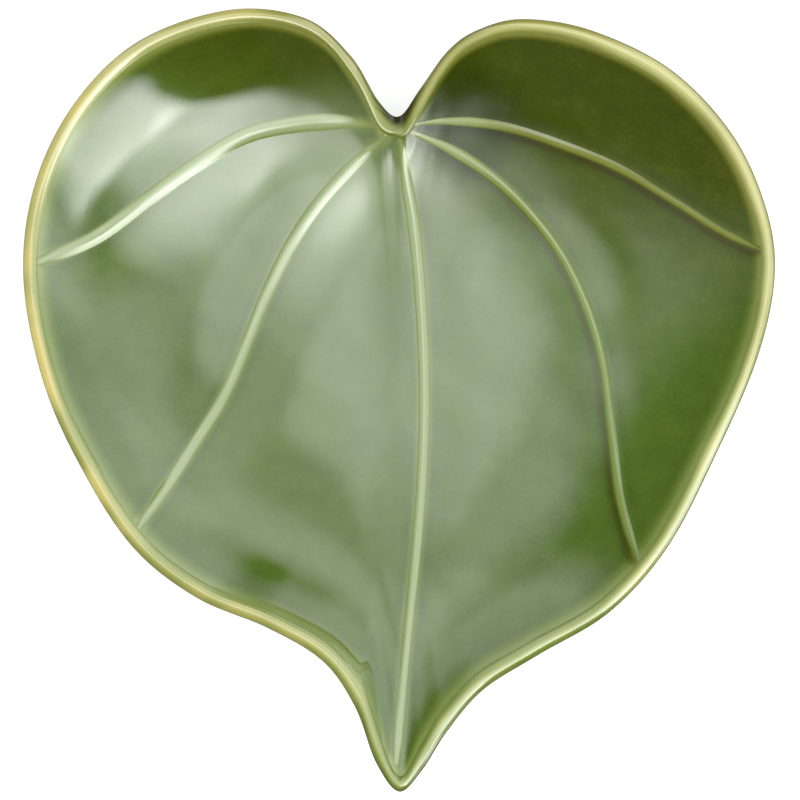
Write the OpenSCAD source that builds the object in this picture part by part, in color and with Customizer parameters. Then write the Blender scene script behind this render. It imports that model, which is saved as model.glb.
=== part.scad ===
// A leaf-shaped dish: a heart-shaped blade lofted from a round base, with a
// rounded lip, five raised veins that spread from the notch and a low round
// foot. +Z is up, +Y points from the tip to the lobes, and the origin lies on
// the table under the middle of the leaf.

/* [Leaf] */
// Length of the leaf, from the top of its lobes to its tip
leaf_l = 240; // [210:1:270]
// Width of the leaf across its lobes
leaf_w = 230; // [200:1:260]
// Height of the highest stretch of the lip above the table
rim_h = 34; // [28:0.5:42]

/* [Wall] */
// Thickness of the floor at its thinnest
floor_t = 5; // [4:0.1:7]
// Width of the lip on the plain stretches of the rim
lip_w = 4.6; // [3.6:0.1:6]

/* [Veins] */
// Width of a vein at its foot
vein_w = 3.4; // [2.4:0.1:4.4]
// Height of a vein above the blade
vein_h = 0.7; // [0.6:0.1:2]
// Depth to which a vein is bedded in the blade
vein_bed = 0.5; // [0.3:0.1:1]
// Height of the soft fold that carries a vein
fold_h = 1.4; // [0:0.1:2.4]
// Distance from a vein at which its fold has nearly died away
fold_w = 13; // [9:0.5:18]

/* [Foot] */
// How far the foot lies from the middle of the leaf towards the notch
foot_y = 8; // [0:1:12]
// Outer diameter of the foot ring
foot_d = 92; // [76:1:98]
// Width of the foot ring
foot_w = 5; // [4:0.5:8]
// Height of the foot ring
foot_h = 4.5; // [3:0.5:6]
// Size of the rounded corners at the foot's lower face
foot_edge = 1.2; // [0.6:0.1:1.4]

/* [Hidden] */

leaf_color = [0.36, 0.47, 0.22];
lip_color = [0.84, 0.82, 0.52];
vein_color = [0.74, 0.80, 0.56];
foot_color = [0.86, 0.81, 0.72];

// The rim, clockwise from the notch: share of the half width, share of the
// half length, share of the rim's height, share of the lip's width, and how
// far across the lip its crest lies
rim_shares = [
    [0, 0.730, 0.53, 1.40, 0.78], [0.057, 0.800, 0.58, 1.00, 0.60], [0.129, 0.892, 0.74, 0.85, 0.47],
    [0.207, 0.943, 0.87, 0.88, 0.46], [0.330, 0.970, 0.95, 0.95, 0.46], [0.515, 0.939, 0.98, 1.00, 0.46],
    [0.725, 0.838, 0.98, 1.00, 0.46], [0.888, 0.672, 0.96, 0.95, 0.46], [0.978, 0.480, 0.94, 0.90, 0.46],
    [0.998, 0.310, 0.93, 0.90, 0.46], [0.953, 0.107, 0.91, 0.90, 0.46], [0.847, -0.132, 0.88, 0.95, 0.46],
    [0.716, -0.375, 0.85, 1.00, 0.46], [0.561, -0.542, 0.83, 1.05, 0.46], [0.369, -0.653, 0.81, 1.10, 0.46],
    [0.223, -0.742, 0.80, 1.15, 0.46], [0.126, -0.850, 0.81, 1.15, 0.46], [0.062, -0.945, 0.83, 1.10, 0.46],
    [0, -1.000, 0.84, 1.05, 0.46], [-0.062, -0.925, 0.83, 1.10, 0.46], [-0.117, -0.785, 0.81, 1.15, 0.46],
    [-0.203, -0.668, 0.80, 1.15, 0.46], [-0.350, -0.583, 0.81, 1.15, 0.46], [-0.540, -0.505, 0.83, 1.15, 0.46],
    [-0.706, -0.379, 0.86, 1.10, 0.46], [-0.839, -0.185, 0.89, 1.05, 0.46], [-0.945, 0.043, 0.92, 1.00, 0.46],
    [-0.998, 0.310, 0.95, 1.00, 0.46], [-0.968, 0.546, 0.97, 1.00, 0.46], [-0.862, 0.754, 0.99, 1.00, 0.46],
    [-0.690, 0.913, 1.00, 1.00, 0.46], [-0.450, 0.992, 1.00, 0.98, 0.46], [-0.250, 0.973, 0.92, 0.92, 0.46],
    [-0.128, 0.880, 0.74, 0.88, 0.47], [-0.055, 0.768, 0.57, 1.04, 0.62]];

// The five veins, from the notch out to the lip, as shares of the half width
// and of the half length
midrib_shares = [[0, 0.690], [0.022, 0.557], [0.045, 0.406], [0.062, 0.202], [0.068, 0],
    [0.061, -0.205], [0.044, -0.408], [0.019, -0.636], [-0.008, -0.930]];
left_lower_shares = [[-0.020, 0.692], [-0.124, 0.604], [-0.218, 0.505], [-0.295, 0.394],
    [-0.362, 0.262], [-0.416, 0.131], [-0.474, 0.003], [-0.571, -0.147], [-0.698, -0.333]];
left_upper_shares = [[-0.030, 0.700], [-0.142, 0.713], [-0.268, 0.709], [-0.408, 0.680],
    [-0.540, 0.607], [-0.665, 0.522], [-0.806, 0.419], [-0.960, 0.350]];
right_lower_shares = [[0.026, 0.690], [0.139, 0.644], [0.253, 0.573], [0.353, 0.481],
    [0.438, 0.372], [0.505, 0.239], [0.547, 0.098], [0.570, -0.077], [0.592, -0.254],
    [0.635, -0.411]];
right_upper_shares = [[0.034, 0.706], [0.137, 0.716], [0.276, 0.703], [0.434, 0.656],
    [0.590, 0.594], [0.748, 0.502], [0.856, 0.434], [0.976, 0.374]];

// The lip's section, from its inner edge over the crest to its outer lower
// edge: share of the lip's width in from the outline, and down from the crest
lip_shares = [[1, 0.30], [0.86, 0.13], [0.67, 0.03], [0.46, 0], [0.25, 0.06],
    [0.09, 0.23], [0, 0.50], [0.04, 0.82], [0.17, 1.12]];
// A lip that runs nearly along its own ray is widened no more than this allows
least_square_share = 0.42;
// Where the crest of that section lies; where it lies further in, at the notch,
// the lip's inner side is as much narrower and lower
crest_share = 0.46;

// The inside wall rises gently and then curls up, as two powers of the way out
curl_share = 0.45;
rise_power = 2.6;
curl_power = 8;
// Level lines of the inside turn from a rounder outline to the leaf's own with
// this power of the way out; the rounder one is evened out over this many
// degrees of bearing to each side
blend_power = 3;
round_step = 2;
round_reach = 40;
// The underside does the same from the edge of the flat base
under_curl_share = 0.2;
under_rise_power = 1.75;
under_curl_power = 6;
// Folds die away towards the lip with this power of the way out
fade_power = 6;

// A vein's section: share of its width across and of its height up
vein_section_shares = [[-0.5, 0], [-0.36, 0.40], [-0.19, 0.85], [0, 1], [0.19, 0.85],
    [0.36, 0.40], [0.5, 0]];
// A vein narrows from the notch to the lip
vein_start_share = 1.05;
vein_end_share = 0.80;
// A vein runs this share of the way to the inner edge of the lip
vein_reach_share = 1;

// Rings on which the inside and the underside are drawn, as shares of the way out
inside_ring_shares = [0.14, 0.28, 0.42, 0.54, 0.65, 0.74, 0.82, 0.88, 0.93, 0.97, 1];
under_ring_shares = [0, 0.18, 0.36, 0.54, 0.70, 0.84, 0.93, 1];
rim_steps = 4;
vein_steps = 4;
foot_steps = 96;
corner_steps = 5;

// The flat base reaches a little past the foot
base_margin = 2;
base_r = foot_d / 2 + base_margin;
floor_z = foot_h + floor_t;

function unit(v) = v / norm(v);
function spline(a, b, c, d, t) = 0.5 * (2 * b + (c - a) * t
    + (2 * a - 5 * b + 4 * c - d) * t ^ 2 + (3 * b - a - 3 * c + d) * t ^ 3);
function closed_spline(p, steps) = let (n = len(p))
    [for (i = [0:n - 1], k = [0:steps - 1])
        spline(p[(i + n - 1) % n], p[i], p[(i + 1) % n], p[(i + 2) % n], k / steps)];
function open_spline(p, steps) = let (n = len(p),
        q = concat([2 * p[0] - p[1]], p, [2 * p[n - 1] - p[n - 2]]))
    concat([for (i = [1:n - 1], k = [0:steps - 1])
        spline(q[i - 1], q[i], q[i + 1], q[i + 2], k / steps)], [p[n - 1]]);

// All plans below are measured from the foot's centre
function leaf_plan(s) = [s[0] * leaf_w / 2, s[1] * leaf_l / 2 - foot_y];

// Columns: one ray from the foot's centre to each point of the rim
rim = [for (s = closed_spline(rim_shares, rim_steps))
    concat(leaf_plan(s), [s[2] * rim_h, s[3], s[4]])];
columns = len(rim);
function plan(i) = let (p = rim[(i + columns) % columns]) [p[0], p[1]];
function ray(i) = unit(plan(i));
function rim_r(i) = norm(plan(i));
function squareness(i) = abs(cross(unit(plan(i + 3) - plan(i - 3)), ray(i)));
lip_runs = [for (i = [0:columns - 1])
    rim[i][3] * lip_w / max(squareness(i), least_square_share)];

// Point k of the lip's section in column i
function lip_point(i, k) = let (s = lip_shares[k], crest_in = rim[i][4],
        inner = s[0] > crest_share,
        narrow = (1 - crest_in) / (1 - crest_share),
        across = inner ? 1 - (1 - s[0]) * narrow : s[0] / crest_share * crest_in,
        p = ray(i) * (rim_r(i) - across * lip_runs[i]))
    [p[0], p[1], rim[i][2] - s[1] * (inner ? narrow : 1) * lip_w];
lip_last = len(lip_shares) - 1;
inner_edge = [for (i = [0:columns - 1]) lip_point(i, 0)];
outer_edge = [for (i = [0:columns - 1]) lip_point(i, lip_last)];

// The inner edge by its bearing, clockwise from the notch
function bearing(p) = (atan2(p[0], p[1]) + 360) % 360;
inner_r_by_bearing = [for (i = [0:columns]) [i == columns ? 360 : bearing(plan(i)),
    norm([inner_edge[i % columns][0], inner_edge[i % columns][1]])]];
edge_z_by_bearing = [for (i = [0:columns]) [i == columns ? 360 : bearing(plan(i)),
    inner_edge[i % columns][2]]];
function inner_r(p) = lookup(bearing(p), inner_r_by_bearing);

// The same edge evened out, as the floor further in follows it
round_offs = [round_step - round_reach:round_step:round_reach - round_step];
round_weights = [for (off = round_offs) 1 + cos(180 * off / round_reach)];
function evened(table) = [for (turn = [0:round_step:360])
    [turn, [for (off = round_offs) lookup((turn + off + 360) % 360, table)] * round_weights
        / (round_weights * [for (w = round_weights) 1])]];
round_r_by_bearing = evened(inner_r_by_bearing);
round_z_by_bearing = evened(edge_z_by_bearing);
function out_share(p) = norm(p) / inner_r(p);
function way_out(p) = min(1, out_share(p));

// Veins in plan, ended where they come to the inner edge of the lip
function crossing(inside, outside) = let (a = out_share(inside), b = out_share(outside))
    inside + (outside - inside) * (vein_reach_share - a) / (b - a);
function vein_path(shares) = let (
        p = [for (s = open_spline(shares, vein_steps)) leaf_plan(s)],
        kept = [for (i = [0:len(p) - 1]) if (out_share(p[i]) < vein_reach_share) i],
        first = kept[0],
        last = kept[len(kept) - 1])
    concat(first > 0 ? [crossing(p[first], p[first - 1])] : [],
        [for (i = kept) p[i]],
        last < len(p) - 1 ? [crossing(p[last], p[last + 1])] : []);
midrib_path = vein_path(midrib_shares);
left_lower_path = vein_path(left_lower_shares);
left_upper_path = vein_path(left_upper_shares);
right_lower_path = vein_path(right_lower_shares);
right_upper_path = vein_path(right_upper_shares);
vein_paths = [midrib_path, left_lower_path, left_upper_path, right_lower_path,
    right_upper_path];

function leg_distance(p, a, b) = let (leg = b - a,
        t = max(0, min(1, (p - a) * leg / (leg * leg))))
    norm(p - a - leg * t);
function path_distance(p, path) = min([for (i = [0:len(path) - 2])
    leg_distance(p, path[i], path[i + 1])]);
function product(v, i = 0) = i == len(v) ? 1 : v[i] * product(v, i + 1);
function fold(p) = fold_h * (1 - product([for (path = vein_paths)
    1 - exp(-(path_distance(p, path) / fold_w) ^ 2)]));

// Height of the inside surface at a point of the plan
function rise(s) = (1 - curl_share) * s ^ rise_power + curl_share * s ^ curl_power;
function steepness(s) = (1 - curl_share) * rise_power * s ^ (rise_power - 1)
    + curl_share * curl_power * s ^ (curl_power - 1);
function level(p) = let (s = way_out(p), turn = s ^ blend_power)
    s * turn + norm(p) / lookup(bearing(p), round_r_by_bearing) * (1 - turn);
// The height that the wall climbs to on the bearing of a point
function climb(p) = let (turn = way_out(p) ^ blend_power)
    lookup(bearing(p), edge_z_by_bearing) * turn
    + lookup(bearing(p), round_z_by_bearing) * (1 - turn) - floor_z;
function dish_z(p) = floor_z + climb(p) * rise(level(p))
    + fold(p) * (1 - way_out(p) ^ fade_power);
// How much further a height is measured upright than square to the wall
function lean(p) = norm([1, steepness(level(p)) * climb(p) / inner_r(p)]);

function under_rise(v) = (1 - under_curl_share) * v ^ under_rise_power
    + under_curl_share * v ^ under_curl_power;

function inside_point(i, s) = let (p = [inner_edge[i][0], inner_edge[i][1]] * s)
    s == 1 ? inner_edge[i] : [p[0], p[1], dish_z(p)];
function under_point(i, v) = let (far = norm([outer_edge[i][0], outer_edge[i][1]]),
        p = ray(i) * (base_r + (far - base_r) * v))
    v == 1 ? outer_edge[i] : [p[0], p[1], foot_h + (outer_edge[i][2] - foot_h) * under_rise(v)];

// Triangles between ring a and ring b of a stack of rings with n points each
function band(a, b, n) = [for (i = [0:n - 1], half = [0, 1])
    half == 0 ? [a * n + i, b * n + i, b * n + (i + 1) % n]
    : [a * n + i, b * n + (i + 1) % n, a * n + (i + 1) % n]];

module leaf_blade() {
    inside = [for (s = inside_ring_shares, i = [0:columns - 1]) inside_point(i, s)];
    under = [for (v = under_ring_shares, i = [0:columns - 1]) under_point(i, v)];
    insides = len(inside_ring_shares);
    unders = len(under_ring_shares);
    middle = (insides + unders) * columns;
    points = concat(inside, under, [[0, 0, dish_z([0, 0])], [0, 0, foot_h]]);
    faces = concat(
        [for (i = [0:columns - 1]) [middle, i, (i + 1) % columns]],
        [for (k = [0:insides - 2]) each band(k, k + 1, columns)],
        band(insides - 1, insides + unders - 1, columns),
        [for (k = [0:unders - 2]) each band(insides + k + 1, insides + k, columns)],
        [for (i = [0:columns - 1])
            [middle + 1, insides * columns + (i + 1) % columns, insides * columns + i]]);
    color(leaf_color) translate([0, foot_y, 0]) polyhedron(points, faces, convexity = 6);
}

module rim_lip() {
    points = [for (k = [0:lip_last], i = [0:columns - 1]) lip_point(i, k)];
    faces = concat(
        [for (k = [0:lip_last - 1]) each band(k, k + 1, columns)],
        [for (t = band(0, lip_last, columns)) [t[2], t[1], t[0]]]);
    color(lip_color) translate([0, foot_y, 0]) polyhedron(points, faces, convexity = 6);
}

// One vein: its section swept along a path and laid on the inside of the blade
module vein(path) {
    last = len(path) - 1;
    section = concat(vein_section_shares, [[0.5, -vein_bed / vein_h], [-0.5, -vein_bed / vein_h]]);
    n = len(section);
    points = [for (i = [0:last]) let (
            along = unit(path[min(i + 1, last)] - path[max(i - 1, 0)]),
            across = [along[1], -along[0]],
            share = vein_start_share + (vein_end_share - vein_start_share) * i / last)
        each [for (s = section) let (p = path[i] + across * s[0] * vein_w * share)
            [p[0], p[1], dish_z(p) + s[1] * vein_h * share * lean(p)]]];
    faces = concat(
        [for (i = [0:last - 1]) each band(i, i + 1, n)],
        [for (k = [1:n - 2]) [0, k, k + 1]],
        [for (k = [1:n - 2]) [last * n, last * n + k + 1, last * n + k]]);
    color(vein_color) translate([0, foot_y, 0]) polyhedron(points, faces, convexity = 6);
}

module midrib() { vein(midrib_path); }
module left_lower_vein() { vein(left_lower_path); }
module left_upper_vein() { vein(left_upper_path); }
module right_lower_vein() { vein(right_lower_path); }
module right_upper_vein() { vein(right_upper_path); }

// The foot: a true ring with rounded lower corners, seated on the flat base
module foot_ring() {
    outer = foot_d / 2;
    inner = outer - foot_w;
    corner = [for (k = [0:corner_steps]) 90 * k / corner_steps];
    section = concat([[inner, foot_h]],
        [for (a = corner) [inner + foot_edge * (1 - cos(a)), foot_edge * (1 - sin(a))]],
        [for (a = corner) [outer - foot_edge * (1 - sin(a)), foot_edge * (1 - cos(a))]],
        [[outer, foot_h]]);
    color(foot_color) translate([0, foot_y, 0])
        rotate_extrude($fn = foot_steps) polygon(section);
}

leaf_blade();
rim_lip();
midrib();
left_lower_vein();
left_upper_vein();
right_lower_vein();
right_upper_vein();
foot_ring();
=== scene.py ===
import math

import bmesh
import bpy
import numpy as np
from mathutils import Matrix


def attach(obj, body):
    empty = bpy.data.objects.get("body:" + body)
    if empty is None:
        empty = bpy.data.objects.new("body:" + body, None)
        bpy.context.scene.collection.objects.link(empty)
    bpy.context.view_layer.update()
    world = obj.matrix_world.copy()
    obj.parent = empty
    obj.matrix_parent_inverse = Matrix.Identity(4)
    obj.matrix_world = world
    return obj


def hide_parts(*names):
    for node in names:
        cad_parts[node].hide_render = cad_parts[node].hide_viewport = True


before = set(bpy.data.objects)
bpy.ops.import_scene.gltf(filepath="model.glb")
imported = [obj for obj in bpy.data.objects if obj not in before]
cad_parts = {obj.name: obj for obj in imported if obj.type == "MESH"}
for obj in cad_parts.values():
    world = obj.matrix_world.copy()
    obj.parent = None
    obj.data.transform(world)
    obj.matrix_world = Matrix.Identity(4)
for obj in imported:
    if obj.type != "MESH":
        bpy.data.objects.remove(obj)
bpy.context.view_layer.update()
plate = "plate"  # the one body that every piece rides on
mm = 0.001
print("frame loaded:", len(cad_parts), "solids")

# The dish's own sizes in millimetres, the same as its solids have
leaf = {
    "length": 240, "width": 230, "rimHeight": 34, "floor": 5, "lipWidth": 4.6,
    "veinWidth": 3.4, "veinHeight": .7, "veinBed": .5, "foldHeight": 1.4, "foldWidth": 13,
    "footY": 8, "footDiameter": 92, "footWidth": 5, "footHeight": 4.5, "footEdge": 1.2,
    "baseMargin": 2,
}
baseRadius = leaf["footDiameter"] / 2 + leaf["baseMargin"]
floorHeight = leaf["footHeight"] + leaf["floor"]

# How the wall rises and how the lip rolls, as shares and powers. Bearings are evened
# out over degrees, and the rim's direction is read some knots ahead and behind. The
# rim is trimmed, in millimetres, so that it stays within its facetted solid
form = {
    "riseShare": .55, "risePower": 2.6, "curlShare": .45, "curlPower": 8,
    "blendPower": 3, "roundStep": 2, "roundReach": 40, "fadePower": 6,
    "underShare": .8, "underPower": 1.75, "underCurlShare": .2, "underCurlPower": 6,
    "leastSquare": .42, "crestShare": .46, "rollFrom": .56, "rollFull": .74,
    "lookAhead": .75, "trim": .09,
}

# The rim, clockwise from the notch: share of the half width, share of the half
# length, share of the rim's height, share of the lip's width, and how far across
# the lip its crest lies. The first two follow the outline that a scratch script
# measured on the photograph, and the others were set by eye
rimShares = np.array([
    [0, .730, .53, 1.40, .78], [.057, .800, .58, 1.00, .60], [.129, .892, .74, .85, .47],
    [.207, .943, .87, .88, .46], [.330, .970, .95, .95, .46], [.515, .939, .98, 1.00, .46],
    [.725, .838, .98, 1.00, .46], [.888, .672, .96, .95, .46], [.978, .480, .94, .90, .46],
    [.998, .310, .93, .90, .46], [.953, .107, .91, .90, .46], [.847, -.132, .88, .95, .46],
    [.716, -.375, .85, 1.00, .46], [.561, -.542, .83, 1.05, .46], [.369, -.653, .81, 1.10, .46],
    [.223, -.742, .80, 1.15, .46], [.126, -.850, .81, 1.15, .46], [.062, -.945, .83, 1.10, .46],
    [0, -1.000, .84, 1.05, .46], [-.062, -.925, .83, 1.10, .46], [-.117, -.785, .81, 1.15, .46],
    [-.203, -.668, .80, 1.15, .46], [-.350, -.583, .81, 1.15, .46], [-.540, -.505, .83, 1.15, .46],
    [-.706, -.379, .86, 1.10, .46], [-.839, -.185, .89, 1.05, .46], [-.945, .043, .92, 1.00, .46],
    [-.998, .310, .95, 1.00, .46], [-.968, .546, .97, 1.00, .46], [-.862, .754, .99, 1.00, .46],
    [-.690, .913, 1.00, 1.00, .46], [-.450, .992, 1.00, .98, .46], [-.250, .973, .92, .92, .46],
    [-.128, .880, .74, .88, .47], [-.055, .768, .57, 1.04, .62]])
rimKnots = len(rimShares)

# The veins from the notch out to the lip, as shares of the half width and length.
# They follow what a scratch script tracked on the photograph
veinShares = {
    "midrib": [[0, .690], [.022, .557], [.045, .406], [.062, .202], [.068, 0], [.061, -.205],
               [.044, -.408], [.019, -.636], [-.008, -.930]],
    "left_lower_vein": [[-.020, .692], [-.124, .604], [-.218, .505], [-.295, .394], [-.362, .262],
                        [-.416, .131], [-.474, .003], [-.571, -.147], [-.698, -.333]],
    "left_upper_vein": [[-.030, .700], [-.142, .713], [-.268, .709], [-.408, .680], [-.540, .607],
                        [-.665, .522], [-.806, .419], [-.960, .350]],
    "right_lower_vein": [[.026, .690], [.139, .644], [.253, .573], [.353, .481], [.438, .372],
                         [.505, .239], [.547, .098], [.570, -.077], [.592, -.254], [.635, -.411]],
    "right_upper_vein": [[.034, .706], [.137, .716], [.276, .703], [.434, .656], [.590, .594],
                         [.748, .502], [.856, .434], [.976, .374]],
}

# How much of its fold each vein shows through the glaze
foldShares = {"midrib": .6, "left_lower_vein": 1, "left_upper_vein": 1, "right_lower_vein": .3,
              "right_upper_vein": .6}

# The lip's section, from its inner edge over the crest to its outer lower edge:
# share of the lip's width in from the outline, and down from the crest
lipShares = np.array([[1, .30], [.86, .13], [.67, .03], [.46, 0], [.25, .06],
                      [.09, .23], [0, .50], [.04, .82], [.17, 1.12]])

# Slow unevenness of hand-pressed clay: wave lengths and depth in millimetres. The
# surface lies some depths lower, so that no wave rises out of the solids
handWork = {"waves": 9, "shortest": 17, "longest": 48, "depth": .035, "lower": 2, "seed": 7}


# A smooth curve through the rows; at counts the rows passed
def curveThrough(rows, at, closed=False):
    rows = np.asarray(rows, float)
    at = np.asarray(at, float)
    if closed:
        i = np.floor(at).astype(int)
        a, b, c, d = (rows[(i + step) % len(rows)] for step in (-1, 0, 1, 2))
    else:
        rows = np.vstack([2 * rows[0] - rows[1], rows, 2 * rows[-1] - rows[-2]])
        i = np.clip(np.floor(at).astype(int), 0, len(rows) - 4)
        a, b, c, d = (rows[i + step] for step in (0, 1, 2, 3))
    t = (at - i)[:, None]
    return .5 * (2 * b + (c - a) * t + (2 * a - 5 * b + 4 * c - d) * t ** 2
                 + (3 * b - a - 3 * c + d) * t ** 3)


def lengthOf(p):
    return np.hypot(p[:, 0], p[:, 1])


# Plans are in millimetres from the middle of the foot
def leafPlan(shares):
    return np.stack([shares[:, 0] * leaf["width"] / 2,
                     shares[:, 1] * leaf["length"] / 2 - leaf["footY"]], 1)


# One ray from the foot's middle to each asked place of the rim
def rimColumns(at):
    row = curveThrough(rimShares, at, True)
    plan = leafPlan(row)
    reach = lengthOf(plan)
    ray = plan / reach[:, None]
    ahead, behind = (leafPlan(curveThrough(rimShares, at + step, True))
                     for step in (form["lookAhead"], -form["lookAhead"]))
    along = (ahead - behind) / lengthOf(ahead - behind)[:, None]
    square = np.abs(along[:, 0] * ray[:, 1] - along[:, 1] * ray[:, 0])
    return {"ray": ray, "reach": reach, "square": square, "crestIn": row[:, 4],
            "crest": row[:, 2] * leaf["rimHeight"],
            "run": row[:, 3] * leaf["lipWidth"] / np.maximum(square, form["leastSquare"])}


# A point of the lip: where the crest lies far in, the inner side is narrow and low
def lipPoints(column, inward, down):
    inner = inward > form["crestShare"]
    narrow = (1 - column["crestIn"]) / (1 - form["crestShare"])
    across = np.where(inner, 1 - (1 - inward) * narrow,
                      inward / form["crestShare"] * column["crestIn"])
    reach = column["reach"] - form["trim"] - across * column["run"]
    height = column["crest"] - down * np.where(inner, narrow, 1) * leaf["lipWidth"]
    return np.column_stack([column["ray"] * reach[:, None], height])


# 1 where the lip rolls over at the notch, 0 on the plain rim
def rollOver(column):
    share = (column["crestIn"] - form["rollFrom"]) / (form["rollFull"] - form["rollFrom"])
    return np.clip(share, 0, 1)


# Degrees clockwise on the plan, from the notch's side
def bearing(p):
    return (np.degrees(np.arctan2(p[:, 0], p[:, 1])) + 360) % 360


# The blade's grid: the gap between rings in millimetres, and other rings as shares of
# the way out. Under the blade the rings lie closer towards the lip
blade = {
    "columnsPerKnot": 16, "ringGap": 1.6, "flatShare": .4, "flatRings": 8,
    "edgeRings": [.9, .91, .92, .93, .94, .95, .96, .968, .975, .982, .988, .994, .998, 1],
    "underRings": 30, "underSpread": 1.3, "lastUnder": .998, "farFromVein": 40, "sharpAngle": 40,
}
columnCount = rimKnots * blade["columnsPerKnot"]


# The inner edge of the lip by its bearing, clockwise from the notch
def edgeTable():
    at = np.arange(columnCount) / blade["columnsPerKnot"]
    edge = lipPoints(rimColumns(at), *lipShares[0])
    turn = bearing(edge)
    return (np.append(turn, 360.0), np.append(lengthOf(edge), lengthOf(edge[:1])),
            np.append(edge[:, 2], edge[0, 2]))


edgeBearing, edgeReach, edgeHeight = edgeTable()
roundBearing = np.arange(0, 361, form["roundStep"])


# The edge evened out over a stretch of bearings, as the floor further in follows it
def roundTable(values):
    offs = np.arange(form["roundStep"] - form["roundReach"], form["roundReach"], form["roundStep"])
    near = [np.interp((roundBearing + off) % 360, edgeBearing, values) for off in offs]
    return np.average(near, axis=0, weights=1 + np.cos(np.pi * offs / form["roundReach"]))


roundReach, roundHeight = roundTable(edgeReach), roundTable(edgeHeight)


# The share of the way from the foot's middle to the lip's inner edge
def wayOut(p):
    return lengthOf(p) / np.interp(bearing(p), edgeBearing, edgeReach)


# A vein in plan, cut where it comes to a share of the way out
def veinPath(name, steps, reachShare):
    legs = len(veinShares[name]) - 1
    p = leafPlan(curveThrough(veinShares[name], np.linspace(0, legs, legs * steps + 1)))
    return p[wayOut(p) < reachShare]


foldPath = {"steps": 10, "reachShare": .985}  # what the folds follow, up to the lip
veinPaths = {name: veinPath(name, **foldPath) for name in veinShares}


# Signed distance from a path: positive on its left as it runs out from the notch
def besidePath(p, path):
    best = np.full(len(p), np.inf)
    side = np.ones(len(p))
    for start, end in zip(path, path[1:]):
        leg = end - start
        t = np.clip((p - start) @ leg / (leg @ leg), 0, 1)
        off = p - start - t[:, None] * leg
        far = lengthOf(off)
        near = far < best
        side[near] = np.where(leg[0] * off[near, 1] - leg[1] * off[near, 0] < 0, -1, 1)
        best[near] = far[near]
    return best * side


# How far the folds lift the inside, by the distances from their veins
def foldHeight(besides):
    flat = np.ones(len(besides[0]))
    for beside, share in zip(besides, foldShares.values()):
        flat *= 1 - share * np.exp(-(beside / leaf["foldWidth"]) ** 2)
    return leaf["foldHeight"] * (1 - flat)


def handRipple(p):
    dice = np.random.default_rng(handWork["seed"])
    total = np.zeros(len(p))
    for _ in range(handWork["waves"]):
        turn, phase = dice.uniform(0, math.tau, 2)
        wave = math.tau / dice.uniform(handWork["shortest"], handWork["longest"])
        total += np.sin(wave * (p[:, 0] * math.cos(turn) + p[:, 1] * math.sin(turn)) + phase)
    return handWork["depth"] * (total / math.sqrt(handWork["waves"]) - handWork["lower"])


# Height of the inside surface
def dishHeight(p, besides=None):
    if besides is None:
        besides = [besidePath(p, path) for path in veinPaths.values()]
    s = np.minimum(1, wayOut(p))
    turn = s ** form["blendPower"]
    level = s * turn + lengthOf(p) / np.interp(bearing(p), roundBearing, roundReach) * (1 - turn)
    rise = form["riseShare"] * level ** form["risePower"]
    rise = rise + form["curlShare"] * level ** form["curlPower"]
    top = (np.interp(bearing(p), edgeBearing, edgeHeight) * turn
           + np.interp(bearing(p), roundBearing, roundHeight) * (1 - turn))
    return (floorHeight + (top - floorHeight) * rise
            + foldHeight(besides) * (1 - s ** form["fadePower"]))


def heightGap(edge):
    return abs(edge.verts[0].co.z - edge.verts[1].co.z)


def reachGap(edge):
    return abs(edge.verts[0].co.xy.length - edge.verts[1].co.xy.length)


twinShare = 1e-5  # points nearer than this share of a blank's reach are one point


# A round blank: a profile in the XZ plane spun about Z, one step for each knot of
# the rim, its poles closed and each step then cut into columns
def spinBlank(profile, columns, closed=False):
    same = twinShare * max(reach for reach, height in profile)
    bm = bmesh.new()
    verts = [bm.verts.new((reach, 0, height)) for reach, height in profile]
    edges = [bm.edges.new(pair) for pair in zip(verts, verts[1:])]
    if closed:
        edges.append(bm.edges.new((verts[-1], verts[0])))
    bmesh.ops.rotate(bm, verts=verts, cent=(0, 0, 0), matrix=Matrix.Rotation(math.pi / 2, 3, "Z"))
    bmesh.ops.spin(bm, geom=verts + edges, cent=(0, 0, 0), axis=(0, 0, 1),
                   angle=math.tau, steps=rimKnots, use_merge=True)
    bmesh.ops.remove_doubles(bm, verts=bm.verts, dist=same)
    rings = [e for e in bm.edges if heightGap(e) < same and reachGap(e) < same]
    bmesh.ops.subdivide_edges(bm, edges=rings, cuts=columns - 1, use_grid_fill=True)
    return bm


# Where a blank's points lie: how many knots round the rim, and how far out
def blankPlace(flat):
    turn = bearing(flat) / 360 * rimKnots
    half = math.pi / rimKnots
    off = (turn - np.floor(turn) - .5) * 2 * half
    at = np.floor(turn) + .5 + np.tan(off) / (2 * math.tan(half))
    return at, lengthOf(flat) * np.cos(off) / math.cos(half)


# Presses a blank into its shape: press turns the blank's points into millimetres
# from the foot's middle, with the marks that the glaze reads
def pressPiece(name, bm, press, material, node, sharpAngle=40):
    mesh = bpy.data.meshes.new(name)
    bm.to_mesh(mesh)
    bm.free()
    flat = np.empty(len(mesh.vertices) * 3)
    mesh.vertices.foreach_get("co", flat)
    points, marks = press(flat.reshape(-1, 3))
    points = (points + [0, leaf["footY"], 0]) * mm
    mesh.vertices.foreach_set("co", points.ravel())
    for mark, values in marks.items():
        attribute = mesh.attributes.new(mark, "FLOAT", "POINT")
        attribute.data.foreach_set("value", values)
    bm = bmesh.new()
    bm.from_mesh(mesh)
    bmesh.ops.recalc_face_normals(bm, faces=bm.faces)
    bm.to_mesh(mesh)
    bm.free()
    mesh.shade_smooth()
    mesh.set_sharp_from_angle(angle=math.radians(sharpAngle))
    piece = bpy.data.objects.new(name, mesh)
    bpy.context.scene.collection.objects.link(piece)
    mesh.materials.append(material)
    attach(piece, plate)
    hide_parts(node)
    print("pressed", name, len(mesh.polygons), "faces")
    return piece


nodeSpacing = 180


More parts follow.
